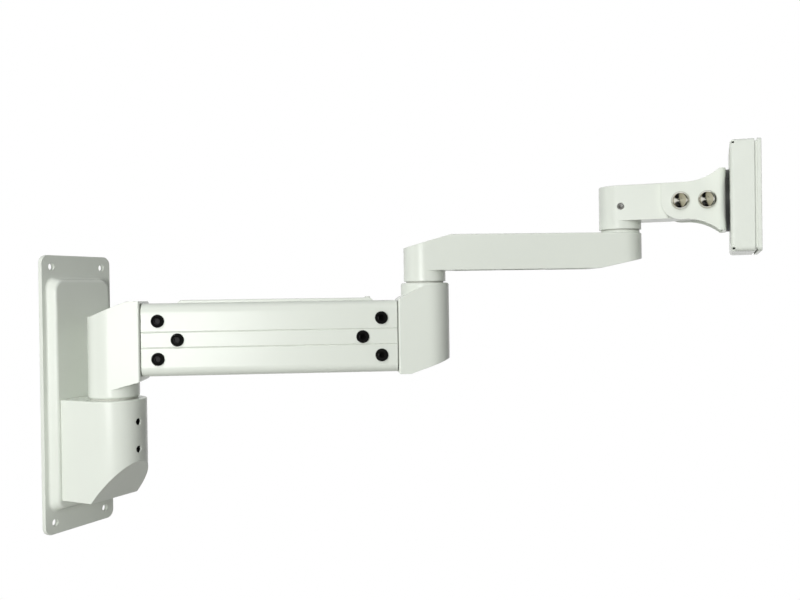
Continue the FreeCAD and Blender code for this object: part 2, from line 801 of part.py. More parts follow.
def main_arm_extrusion():
    body = new_body("main_arm_extrusion", main_frame)
    half = "arm_width / 2"
    right_side = []
    for level in (f"({ARM_MIDDLE} - groove_spacing / 2)", f"({ARM_MIDDLE} + groove_spacing / 2)"):
        right_side += [(half, f"{level} - groove_width / 2"), (f"{half} - groove_depth", level),
                       (half, f"{level} + groove_width / 2")]
    left_side = [(f"-({across})", up) for across, up in reversed(right_side)]
    section = Drawing(body, "section", "end", ARM_START)
    section.polygon((f"-({half})", ARM_BOTTOM), (half, ARM_BOTTOM), *right_side,
                    (half, ARM_TOP), (f"-({half})", ARM_TOP), *left_side)
    pad(section, f"{ARM_END} - {ARM_START}")
    soften(body, "Fillet", "arm_corner", runs_along("x"),
           either(lies_at("z", ARM_TOP), lies_at("z", ARM_BOTTOM)))
    hollow = Drawing(body, "hollow", "end", ARM_START, up=ARM_MIDDLE)
    hollow.rounded_rectangle("arm_width - 2 * arm_wall", "arm_height - 2 * arm_wall", "(arm_corner - arm_wall)")
    cut(hollow, forward=True)
    holes = Drawing(body, "screw_holes", "side")
    for along, up in BASE_SCREW_SPOTS + ELBOW_SCREW_SPOTS:
        holes.circle("arm_screw_radius + loose_clearance", along, up)
    cut(holes, both_ways=True)
    slot = Drawing(body, "cable_slot", "flat", ARM_TOP)
    slot.rectangle(SLOT_START, SLOT_END, "-cable_slot_width / 2", "cable_slot_width / 2")
    cut(slot, "arm_wall + seat_clearance")
    return body


def arm_screws():
    master = screw("arm_screw", "arm_screw_head_radius", "arm_screw_head_height", "arm_screw_radius",
                   "arm_screw_reach", "arm_screw_socket", "arm_screw_socket_depth",
                   "arm_screw_head_height - screw_head_rim")
    for name, spots in (("base_end_screws", BASE_SCREW_SPOTS), ("elbow_end_screws", ELBOW_SCREW_SPOTS)):
        seats = [(along, "-arm_width / 2", up, RIGHT) for along, up in spots]
        seats += [(along, "arm_width / 2", up, LEFT) for along, up in spots]
        group(name, main_frame, master, seats)


def cable_cover():
    body = new_body("cable_cover", main_frame)
    crest = f"({ARM_TOP} + cover_thickness)"
    strip = Drawing(body, "strip", "side")
    strip.polygon(("cover_start", ARM_TOP), (COVER_END, ARM_TOP), (f"{COVER_END} - cover_slope", crest),
                  ("cover_start + cover_slope", crest))
    pad(strip, "cover_width", both_ways=True)
    soften(body, "Fillet", "cover_thickness / 2", runs_along("x"), lies_at("z", crest))
    clips = Drawing(body, "clips", "flat", ARM_TOP)
    outer = "(cable_slot_width / 2 - clip_clearance)"
    first = f"{SLOT_START} + clip_clearance"
    last = f"{SLOT_END} - clip_clearance"
    clips.rectangle(first, last, f"{outer} - clip_width", outer)
    clips.rectangle(first, last, f"-{outer}", f"clip_width - {outer}")
    pad(clips, "clip_depth", backward=True)
    nub = Drawing(body, "nub", "flat", crest).circle("nub_radius", f"{COVER_END} - nub_inset")
    pad(nub, "nub_height")
    soften(body, "Fillet", "nub_edge", lies_at("z", f"{crest} + nub_height"))
    return body


def elbow_knuckle():
    body = new_body("elbow_knuckle", main_frame)
    face_bottom = f"({ARM_BOTTOM} - elbow_face_margin_bottom)"
    post = Drawing(body, "post", "flat", face_bottom).circle("knuckle_radius", "main_arm_length")
    pad(post, f"{ELBOW_TOP} - {face_bottom}")
    soften(body, "Fillet", "knuckle_edge", lies_at("z", ELBOW_TOP))
    shoulder = f"({ARM_TOP} + elbow_shoulder_rise)"
    block = Drawing(body, "block", "side")
    block.polygon((ELBOW_FACE, face_bottom), ("main_arm_length", face_bottom),
                  ("main_arm_length", f"({shoulder} + elbow_slope_rise)"),
                  (f"{ELBOW_FACE} + elbow_shoulder_run", shoulder), (ELBOW_FACE, f"({ARM_TOP} + face_clearance)"))
    pad(block, "2 * knuckle_radius", both_ways=True)
    heel = f"({ELBOW_FACE} + elbow_heel_run)"
    toe = f"(main_arm_length + knuckle_radius + {OVERSHOOT})"
    under = f"({face_bottom} - {OVERSHOOT})"
    wedge = Drawing(body, "underside", "side")
    wedge.polygon((heel, under), (toe, under), (toe, f"({face_bottom} + elbow_toe_rise)"), (heel, face_bottom))
    cut(wedge, "4 * knuckle_radius", both_ways=True)
    soften(body, "Chamfer", "face_bevel", lies_at("x", ELBOW_FACE), either(runs_along("z"), runs_along("y")))
    bore = Drawing(body, "bush_bore", "flat", ELBOW_TOP)
    bore.circle("elbow_spindle_radius + bush_wall + seat_clearance", "main_arm_length")
    cut(bore, "elbow_spindle_reach + bore_floor")
    arm_tongue(body, ELBOW_FACE, True, ELBOW_SCREW_SPOTS)
    return body


def elbow_bushes():
    for name, low in (("elbow_bush_upper", f"{ELBOW_TOP} - elbow_bush_length"),
                      ("elbow_bush_lower", f"{ELBOW_TOP} - elbow_spindle_reach")):
        ring(name, elbow_frame, "elbow_spindle_radius + bush_wall", "elbow_spindle_radius + running_clearance",
             low, "elbow_bush_length")


def elbow_thrust_washer():
    ring("elbow_thrust_washer", elbow_frame, "hub_radius - washer_margin",
         "elbow_spindle_radius + loose_clearance", ELBOW_TOP, "thrust_washer")


# Upper arm
def elbow_spindle():
    pin("elbow_spindle", upper_frame, "elbow_spindle_radius", f"{ELBOW_TOP} - elbow_spindle_reach",
        "elbow_spindle_reach + elbow_spindle_rise")


def upper_arm():
    body = new_body("upper_arm", upper_frame)
    beam = Drawing(body, "beam", "flat", BEAM_BOTTOM).half_round("0", "upper_arm_length", "hub_radius")
    pad(beam, "beam_height")
    hub = Drawing(body, "hub", "flat", HUB_BOTTOM).circle("hub_radius")
    pad(hub, "hub_drop + beam_height")
    above = f"({BEAM_TOP} + {OVERSHOOT})"
    behind = f"-(hub_radius + {OVERSHOOT})"
    crown = Drawing(body, "hub_slope", "side")
    crown.polygon(("-hub_radius", f"({BEAM_TOP} - hub_slope_drop)"), ("hub_slope_run", BEAM_TOP),
                  ("hub_slope_run", above), (behind, above), (behind, f"({BEAM_TOP} - hub_slope_drop)"))
    cut(crown, "4 * hub_radius", both_ways=True)
    tip = "(upper_arm_length + hub_radius)"
    beyond = f"({tip} + {OVERSHOOT})"
    under = f"({BEAM_BOTTOM} - {OVERSHOOT})"
    wedge = Drawing(body, "tip_slope", "side")
    wedge.polygon((f"{tip} - tip_slope_run", under), (beyond, under), (beyond, f"({BEAM_BOTTOM} + tip_slope_rise)"),
                  (tip, f"({BEAM_BOTTOM} + tip_slope_rise)"), (f"{tip} - tip_slope_run", BEAM_BOTTOM))
    cut(wedge, "4 * hub_radius", both_ways=True)
    soften(body, "Fillet", "beam_edge", lies_at("z", BEAM_TOP))
    boss = Drawing(body, "boss", "flat", BEAM_TOP).circle("boss_radius - beam_edge", "upper_arm_length")
    pad(boss, "boss_rise")
    cores = Drawing(body, "cores", "flat", BEAM_BOTTOM)
    for number in range(int(size("beam_core_count"))):
        pitch = "((beam_core_length + beam_rib) / beam_core_count)"
        start = f"(beam_core_start + {number} * {pitch})"
        cores.rectangle(start, f"({start} + {pitch} - beam_rib)", "beam_wall - hub_radius", "hub_radius - beam_wall")
    cut(cores, "beam_height - beam_roof", forward=True)
    spindle_bore = Drawing(body, "spindle_bore", "flat", HUB_BOTTOM)
    spindle_bore.circle("elbow_spindle_radius + seat_clearance")
    cut(spindle_bore, f"{ELBOW_TOP} + elbow_spindle_rise - {HUB_BOTTOM}", forward=True)
    bush_bore = Drawing(body, "bush_bore", "flat", BOSS_TOP)
    bush_bore.circle("wrist_spindle_radius + bush_wall + seat_clearance", "upper_arm_length")
    cut(bush_bore, "wrist_spindle_reach + bore_floor")
    return body


def wrist_bush():
    ring("wrist_bush", wrist_frame, "wrist_spindle_radius + bush_wall", "wrist_spindle_radius + running_clearance",
         f"{BOSS_TOP} - wrist_bush_length", "wrist_bush_length")


def wrist_thrust_washer():
    ring("wrist_thrust_washer", wrist_frame, "block_radius - washer_margin",
         "wrist_spindle_radius + loose_clearance", BOSS_TOP, "wrist_washer")


# Swivel block
def wrist_spindle():
    pin("wrist_spindle", head_frame, "wrist_spindle_radius", f"{BOSS_TOP} - wrist_spindle_reach",
        "wrist_spindle_reach + wrist_spindle_rise")


SWIVEL_SCREW_LEVEL = f"({BLOCK_BOTTOM} + swivel_screw_lift)"
SLOT_RADIUS = "(tilt_bolt_radius + loose_clearance)"
TONGUE_RADIUS = f"(tilt_bolt_spacing + {SLOT_RADIUS} + tongue_slot_wall)"


def swivel_block():
    body = new_body("swivel_block", head_frame)
    post = Drawing(body, "post", "flat", BLOCK_BOTTOM).circle("block_radius")
    pad(post, "block_height")
    neck = Drawing(body, "neck", "flat", NECK_BOTTOM)
    neck.rectangle("0", "block_neck_reach", "-block_radius", "block_radius")
    pad(neck, "block_height - block_neck_lift")
    soften(body, "Fillet", "casting_edge", lies_at("z", BLOCK_TOP), lies_beyond("x", "block_neck_reach", -1))
    tongue = Drawing(body, "tongue", "flat", NECK_BOTTOM)
    tongue.rectangle("block_neck_reach", f"tilt_axis_out + {TONGUE_RADIUS}",
                     "-tongue_half_width", "tongue_half_width")
    pad(tongue, "block_height - block_neck_lift")
    # the tongue's end is round about the tilt axis
    end = Drawing(body, "tongue_end", "side", across="tilt_axis_out", up=TILT_LEVEL)
    beyond = f"({TONGUE_RADIUS} + {OVERSHOOT})"
    start = ("0", f"-{TONGUE_RADIUS}")
    finish = ("0", TONGUE_RADIUS)
    rim = end.arc(("0", "0"), TONGUE_RADIUS, start, finish)
    first = end.line(finish, (beyond, TONGUE_RADIUS))
    second = end.line((beyond, TONGUE_RADIUS), (beyond, f"-{TONGUE_RADIUS}"))
    third = end.line((beyond, f"-{TONGUE_RADIUS}"), start)
    for one, other in ((rim, first), (first, second), (second, third), (third, rim)):
        end.join(one, other)
    end.hold("DistanceX", "0", -1, 1, rim, 3)
    end.pin(third, 2, start)
    cut(end, "4 * tongue_half_width", both_ways=True)
    pivot = Drawing(body, "pivot_bore", "side")
    pivot.circle("tilt_bolt_radius + running_clearance", "tilt_axis_out", TILT_LEVEL)
    cut(pivot, both_ways=True)
    # the lock bolt's slot is an arc about the tilt axis, with a round end at each limit
    slot = Drawing(body, "lock_slot", "flat", TILT_LEVEL, across="tilt_axis_out")
    slot.rectangle(f"tilt_bolt_spacing - {SLOT_RADIUS}", f"tilt_bolt_spacing + {SLOT_RADIUS}",
                   f"-(tongue_half_width + {OVERSHOOT})", f"tongue_half_width + {OVERSHOOT}")
    grooved(slot, "2 * tilt_limit")
    ends = Drawing(body, "slot_ends", "side", across="tilt_axis_out", up=TILT_LEVEL)
    for sign in SIGNS:
        ends.circle(SLOT_RADIUS, "tilt_bolt_spacing * cos(tilt_limit)", f"{sign}tilt_bolt_spacing * sin(tilt_limit)")
    cut(ends, both_ways=True)
    spindle_bore = Drawing(body, "spindle_bore", "flat", BLOCK_BOTTOM)
    spindle_bore.circle("wrist_spindle_radius + seat_clearance")
    cut(spindle_bore, f"{BOSS_TOP} + wrist_spindle_rise - {BLOCK_BOTTOM}", forward=True)
    screw_hole = Drawing(body, "set_screw_hole", "side", turn="swivel_screw_turn")
    screw_hole.circle("set_screw_radius + seat_clearance", "0", SWIVEL_SCREW_LEVEL)
    cut(screw_hole, "2 * block_radius", forward=True)
    return body


def swivel_set_screw():
    inner = "(wrist_spindle_radius + 2 * seat_clearance)"
    master = set_screw("swivel_set_screw_blank", f"block_radius - {inner} - set_screw_recess")
    way = Rotation(UP, size("swivel_screw_turn")).multVec(RIGHT)
    seat = (f"{inner} * sin(swivel_screw_turn)", f"-{inner} * cos(swivel_screw_turn)", SWIVEL_SCREW_LEVEL, way)
    group("swivel_set_screw", head_frame, master, [seat])


# Tilt bracket and its bolts
def tilt_bracket():
    body = new_body("tilt_bracket", head_frame)
    left = "(tilt_axis_out - cheek_half_height)"
    waist = "(tilt_axis_out + cheek_waist_out)"
    top = f"({TILT_LEVEL} + cheek_half_height)"
    bottom = f"({TILT_LEVEL} - cheek_half_height)"
    flare = "(web_out - web_flat)"
    web_top = f"({TILT_LEVEL} + web_half_height)"
    web_bottom = f"({TILT_LEVEL} - web_half_height)"
    run = f"({flare} - {waist})"
    rise = "(web_half_height - cheek_half_height)"
    # a flare that leaves the waist level and meets the web's end, so its radius follows from both
    flare_radius = f"(({run} * {run} + {rise} * {rise}) / (2 * {rise}))"
    profile = Drawing(body, "profile", "side")
    heel = profile.arc(("tilt_axis_out", TILT_LEVEL), "cheek_half_height", (left, TILT_LEVEL),
                       ("tilt_axis_out", bottom))
    lines = [profile.line(*ends) for ends in (
        (("tilt_axis_out", bottom), (waist, bottom)),
        ((flare, web_bottom), ("web_out", web_bottom)),
        (("web_out", web_bottom), ("web_out", web_top)),
        (("web_out", web_top), (flare, web_top)),
        ((waist, top), (left, top)),
        ((left, top), (left, TILT_LEVEL)),
    )]
    lower = profile.arc((waist, f"({bottom} - {flare_radius})"), flare_radius, (flare, web_bottom), (waist, bottom))
    upper = profile.arc((waist, f"({top} + {flare_radius})"), flare_radius, (waist, top), (flare, web_top))
    link = profile.sketch.addConstraint
    link(Sketcher.Constraint("Coincident", heel, 2, lines[0], 1))
    link(Sketcher.Constraint("Coincident", lines[0], 2, lower, 2))
    link(Sketcher.Constraint("Coincident", lower, 1, lines[1], 1))
    link(Sketcher.Constraint("Coincident", lines[1], 2, lines[2], 1))
    link(Sketcher.Constraint("Coincident", lines[2], 2, lines[3], 1))
    link(Sketcher.Constraint("Coincident", lines[3], 2, upper, 2))
    link(Sketcher.Constraint("Coincident", upper, 1, lines[4], 1))
    link(Sketcher.Constraint("Coincident", lines[4], 2, lines[5], 1))
    link(Sketcher.Constraint("Coincident", lines[5], 2, heel, 1))
    profile.pin(lines[0], 2, (waist, bottom))
    profile.pin(lines[3], 2, (flare, web_top))
    profile.hold("Radius", "cheek_half_height", heel)
    profile.hold("Radius", flare_radius, lower)
    profile.hold("Radius", flare_radius, upper)
    pad(profile, f"2 * {CHEEK_OUTER}", both_ways=True)
    inside = Drawing(body, "inside", "flat", web_top)
    inside.rectangle(f"{left} - {OVERSHOOT}", WEB_INNER, "-cheek_inner", "cheek_inner")
    cut(inside)
    soften(body, "Fillet", "cheek_bend", runs_along("z"), lies_at("x", WEB_INNER))
    soften(body, "Fillet", "cheek_bend + cheek_sheet", runs_along("z"), lies_at("x", "web_out"))
    bolts = Drawing(body, "bolt_holes", "side")
    for along in ("tilt_axis_out", "tilt_axis_out + tilt_bolt_spacing"):
        bolts.circle("tilt_bolt_radius + seat_clearance", along, TILT_LEVEL)
    cut(bolts, both_ways=True)
    centre = Drawing(body, "rotation_hole", "end", "web_out").circle(
        "rotation_bolt_radius + loose_clearance", "0", TILT_LEVEL)
    cut(centre, "2 * cheek_sheet")
    return body


def tilt_bolts():
    reach = f"2 * {CHEEK_OUTER} + tilt_nut_height + bolt_tip"
    master = screw("dome_bolt", "dome_radius", "dome_height", "tilt_bolt_radius", reach, "dome_socket",
                   "dome_socket_depth", "dome_height - screw_head_rim")
    nut_master = nut("tilt_nut_blank", "tilt_nut_across", "tilt_nut_height", "tilt_bolt_radius + seat_clearance")
    for prefix, along in (("tilt", "tilt_axis_out"), ("lock", "tilt_axis_out + tilt_bolt_spacing")):
        group(f"{prefix}_bolt", head_frame, master, [(along, f"-{CHEEK_OUTER}", TILT_LEVEL, RIGHT)])
        group(f"{prefix}_nut", head_frame, nut_master, [(along, CHEEK_OUTER, TILT_LEVEL, LEFT)])


# A thin disc on each side of the tongue, round the tilt bolt
def tilt_friction_washers():
    thickness = "(cheek_inner - tongue_half_width - 2 * face_clearance)"
    master = new_body("friction_washer")
    outline = Drawing(master, "outline", "flat").circle("friction_washer_radius").circle(
        "tilt_bolt_radius + seat_clearance")
    pad(outline, thickness)
    start = "(tongue_half_width + face_clearance)"
    seats = [("tilt_axis_out", f"-{start}", TILT_LEVEL, RIGHT), ("tilt_axis_out", start, TILT_LEVEL, LEFT)]
    group("tilt_friction_washers", head_frame, master, seats)


# Rotation joint
def rotation_disc():
    body = new_body("rotation_disc", head_frame)
    outline = Drawing(body, "outline", "end", "web_out", up=TILT_LEVEL)
    outline.circle("disc_radius").circle("rotation_bolt_radius + loose_clearance")
    pad(outline, "disc_thickness")
    notch = Drawing(body, "notch", "end", "web_out + disc_thickness", up=TILT_LEVEL)
    notch.circle("disc_notch", "-disc_radius * cos(disc_notch_angle)", "disc_radius * sin(disc_notch_angle)")
    cut(notch)
    return body


def rotation_bolt():
    nut_face = f"({WEB_INNER} - face_clearance)"
    seat = f"({TRAY_BACK} + tray_sheet)"
    reach = f"{seat} - {nut_face} + rotation_nut_height"
    master = screw("rotation_bolt_blank", "rotation_head_radius", "rotation_head_height", "rotation_bolt_radius",
                   reach, "rotation_socket", "rotation_socket / 2", "rotation_head_edge")
    group("rotation_bolt", head_frame, master, [(seat, "0", TILT_LEVEL, OUT)])
    nut_master = nut("rotation_nut_blank", "rotation_nut_across", "rotation_nut_height",
                     "rotation_bolt_radius + seat_clearance")
    group("rotation_nut", head_frame, nut_master, [(nut_face, "0", TILT_LEVEL, BACK)])


# Tray and monitor plate
RIM_SCREW_OUT = f"({MONITOR_BACK} - plate_groove - (rim_depth - plate_groove) / 2)"
RIM_SCREW_SPOTS = [f"{sign}rim_screw_across / 2" for sign in SIGNS]


def vesa_tray():
    body = new_body("vesa_tray", head_frame)
    outline = Drawing(body, "outline", "end", TRAY_BACK, up=TILT_LEVEL)
    outline.rounded_rectangle(TRAY_SIZE, TRAY_SIZE, "tray_bend")
    pad(outline, "tray_depth")
    soften(body, "Fillet", "tray_bend - casting_edge / 2", lies_at("x", TRAY_BACK))
    hollow = Drawing(body, "hollow", "end", f"{TRAY_BACK} + tray_sheet", up=TILT_LEVEL)
    inside = f"{TRAY_SIZE} - 2 * tray_sheet"
    hollow.rounded_rectangle(inside, inside, "(tray_bend - tray_sheet)")
    cut(hollow, forward=True)
    centre = Drawing(body, "rotation_hole", "end", f"{TRAY_BACK} + tray_depth", up=TILT_LEVEL)
    centre.circle("rotation_bolt_radius + seat_clearance")
    cut(centre)
    # round relief where two bends meet, at each back corner
    reliefs = Drawing(body, "reliefs", "end", f"{TRAY_BACK} + tray_relief", up=TILT_LEVEL)
    for across in SIGNS:
        for up in SIGNS:
            reliefs.circle("tray_relief", f"{across}{TRAY_SIZE} / 2", f"{up}{TRAY_SIZE} / 2")
    cut(reliefs)
    screws = Drawing(body, "screw_holes", "flat")
    for across in RIM_SCREW_SPOTS:
        screws.circle("rim_screw_radius + seat_clearance", RIM_SCREW_OUT, across)
    cut(screws, forward=True)
    outer_faces = [lies_at("z", f"{TILT_LEVEL} {sign} {TRAY_SIZE} / 2") for sign in ("+", "-")]
    soften(body, "Chamfer", "rim_screw_head - rim_screw_radius", of_radius("rim_screw_radius + seat_clearance"),
           either(*outer_faces))
    return body


def monitor_holes(drawing, spread, radius):
    for across in SIGNS:
        for up in SIGNS:
            drawing.circle(radius, f"{across}{spread}", f"{up}{spread}")


def monitor_plate():
    body = new_body("monitor_plate", head_frame)
    outline = Drawing(body, "outline", "end", MONITOR_BACK, up=TILT_LEVEL)
    outline.rounded_rectangle(TRAY_SIZE, TRAY_SIZE, "monitor_corner")
    pad(outline, "monitor_sheet")
    soften(body, "Fillet", "casting_edge / 2", lies_at("x", MONITOR_FRONT))
    outer = f"{TRAY_SIZE} - 2 * (tray_sheet + rim_clearance)"
    inner = f"{outer} - 2 * rim_sheet"
    rim = Drawing(body, "rim", "end", MONITOR_BACK, up=TILT_LEVEL)
    rim.rounded_rectangle(outer, outer, "(tray_bend - tray_sheet)").rounded_rectangle(inner, inner, "rim_corner")
    pad(rim, "rim_depth", backward=True)
    holes = Drawing(body, "monitor_holes", "end", MONITOR_FRONT, up=TILT_LEVEL)
    monitor_holes(holes, "monitor_pattern_large / 2", "monitor_hole_radius")
    monitor_holes(holes, "monitor_pattern_small / 2", "monitor_hole_radius")
    holes.circle("access_radius")
    cut(holes, "monitor_sheet")
    # the rim leaves room for the heads of the outer screws
    head_room = Drawing(body, "head_room", "end", MONITOR_BACK, up=TILT_LEVEL)
    monitor_holes(head_room, "monitor_pattern_large / 2", "monitor_head_room")
    cut(head_room, "rim_depth")
    screws = Drawing(body, "screw_holes", "flat")
    for across in RIM_SCREW_SPOTS:
        screws.circle("rim_screw_radius", RIM_SCREW_OUT, across)
    cut(screws, forward=True)
    return body


# Flat screws, flush with the tray's top and bottom
def plate_screws():
    master = new_body("plate_screw")
    shank = "(rim_screw_radius - seat_clearance)"
    tip = "-(tray_sheet + rim_clearance + rim_sheet)"
    profile = Drawing(master, "profile", "side")
    profile.polygon(("0", "0"), ("0", tip), (shank, tip), (shank, f"{shank} - rim_screw_head"),
                    ("rim_screw_head", "0"))
    turned(profile)
    cut(Drawing(master, "socket", "flat").hexagon("rim_screw_socket"), "rim_screw_socket / 2")
    top = f"({TILT_LEVEL} + {TRAY_SIZE} / 2)"
    bottom = f"({TILT_LEVEL} - {TRAY_SIZE} / 2)"
    seats = [(RIM_SCREW_OUT, across, top, UP) for across in RIM_SCREW_SPOTS]
    seats += [(RIM_SCREW_OUT, across, bottom, DOWN) for across in RIM_SCREW_SPOTS]
    group("plate_screws", head_frame, master, seats)


for make in (wall_plate, wall_bracket, bracket_fixing_screws, friction_set_screws, base_bushes, base_thrust_washer,
             base_spindle, base_knuckle, main_arm_extrusion, arm_screws, cable_cover, elbow_knuckle, elbow_bushes,
             elbow_thrust_washer, elbow_spindle, upper_arm, wrist_bush, wrist_thrust_washer, wrist_spindle,
             swivel_block, swivel_set_screw, tilt_bracket, tilt_bolts, tilt_friction_washers, rotation_disc,
             rotation_bolt, vesa_tray, monitor_plate, plate_screws):
    make()

document.removeObject("gauge")
document.recompute()
for thing in document.Objects:
    if "Invalid" in thing.State or "Error" in thing.State:
        raise ValueError(f"{thing.Name} failed: {thing.State}")
os.makedirs("parts", exist_ok=True)
for piece in pieces:
    if piece.Shape.isNull() or not piece.Shape.isValid():
        raise ValueError(f"{piece.Label} has no valid shape")
for piece in pieces:
    piece.Shape.exportStep(os.path.join("parts", f"{piece.Label}.step"))
    print(piece.Label, len(piece.Shape.Solids), round(piece.Shape.Volume))
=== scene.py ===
import math

import bpy
from mathutils import Matrix, Vector

# A monitor wall arm in off-white paint, with black and chromed screws, on a plain white ground.

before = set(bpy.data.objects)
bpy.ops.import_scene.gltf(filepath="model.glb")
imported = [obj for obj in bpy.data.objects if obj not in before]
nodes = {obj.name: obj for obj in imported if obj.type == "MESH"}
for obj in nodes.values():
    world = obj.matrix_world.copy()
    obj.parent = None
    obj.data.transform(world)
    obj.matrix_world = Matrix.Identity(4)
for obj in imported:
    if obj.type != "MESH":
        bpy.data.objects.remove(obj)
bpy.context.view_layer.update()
scene = bpy.context.scene
print("frame loaded:", len(nodes), "pieces")


# Camera at the photograph's viewing angle

camera = {
    "place": (0.7642, -0.7182, 0.1023),
    "heading": 26.59,  # degrees from +Y towards -X
    "pitch": -0.35,
    "roll": -0.81,
    "lens": 39.83,
    "sensor": 36,
    "clip": (0.01, 50),
}


def placeCamera(settings):
    heading, pitch, roll = (math.radians(settings[key]) for key in ("heading", "pitch", "roll"))
    ahead = Vector((-math.sin(heading) * math.cos(pitch), math.cos(heading) * math.cos(pitch),
                    math.sin(pitch)))
    level = Vector((math.cos(heading), math.sin(heading), 0))
    above = level.cross(ahead)
    right = level * math.cos(roll) + above * math.sin(roll)
    up = above * math.cos(roll) - level * math.sin(roll)
    lens = bpy.data.cameras.new("photoCamera")
    lens.lens = settings["lens"]
    lens.sensor_width = settings["sensor"]
    lens.clip_start, lens.clip_end = settings["clip"]
    holder = bpy.data.objects.new("photoCamera", lens)
    scene.collection.objects.link(holder)
    turn = Matrix((right, up, -ahead)).transposed().to_4x4()
    holder.matrix_world = Matrix.Translation(settings["place"]) @ turn
    scene.camera = holder


placeCamera(camera)
print("camera placed")


# Node tools

def addNode(tree, kind, place=(0, 0), **settings):
    node = tree.nodes.new(kind)
    node.location = place
    for name, value in settings.items():
        if name in node.inputs:
            node.inputs[name].default_value = value
        else:
            setattr(node, name, value)
    return node


def newGroup(name, inputs, outputs):
    tree = bpy.data.node_groups.new(name, "ShaderNodeTree")
    for socketName, kind, value in inputs:
        socket = tree.interface.new_socket(name=socketName, in_out="INPUT", socket_type=kind)
        if value is not None:
            socket.default_value = value
    for socketName, kind in outputs:
        tree.interface.new_socket(name=socketName, in_out="OUTPUT", socket_type=kind)
    start = tree.nodes.new("NodeGroupInput")
    start.location = (-700, 0)
    end = tree.nodes.new("NodeGroupOutput")
    end.location = (700, 0)
    return tree, start, end


def useGroup(tree, group, place, **settings):
    node = tree.nodes.new("ShaderNodeGroup")
    node.node_tree = group
    node.location = place
    for name, value in settings.items():
        node.inputs[name].default_value = value
    return node


def mathNode(tree, operation, first, second, place=(0, 0), clamp=False):
    node = addNode(tree, "ShaderNodeMath", place, operation=operation, use_clamp=clamp)
    for socket, value in zip(node.inputs, (first, second)):
        if isinstance(value, (int, float)):
            socket.default_value = value
        else:
            tree.links.new(value, socket)
    return node.outputs["Value"]


def mapNode(tree, place, source, target=(0.0, 1.0), **settings):
    node = addNode(tree, "ShaderNodeMapRange", place, **settings)
    node.inputs["From Min"].default_value, node.inputs["From Max"].default_value = source
    node.inputs["To Min"].default_value, node.inputs["To Max"].default_value = target
    return node


# Shared effects

effects = {
    "samples": 6,
    "fineShare": 0.6,  # size of the paint's fine grain beside its peel
    "fineHeight": 0.5,
    "toneFrom": (0.1, 0.9),
    "toneTo": (0.985, 1.01),
    # painted shade in corners, with dust roughness: the ambient occlusion range and the most darkening
    "shadeAndDustFrom": (0.25, 0.8),
    "shadeAndDustMost": 0.5,
    "dustRoughness": 0.3,
    "smearScale": 60.0,
    "smearFrom": (0.45, 0.75),
}


# Edges that look slightly rounded
def makeEdgeGroup(settings):
    tree, start, end = newGroup("softEdges", [("Radius", "NodeSocketFloat", 0.0006)],
                                [("Normal", "NodeSocketVector")])
    bevel = addNode(tree, "ShaderNodeBevel", (0, 0), samples=settings["samples"])
    tree.links.new(start.outputs["Radius"], bevel.inputs["Radius"])
    tree.links.new(bevel.outputs["Normal"], end.inputs["Normal"])
    return tree


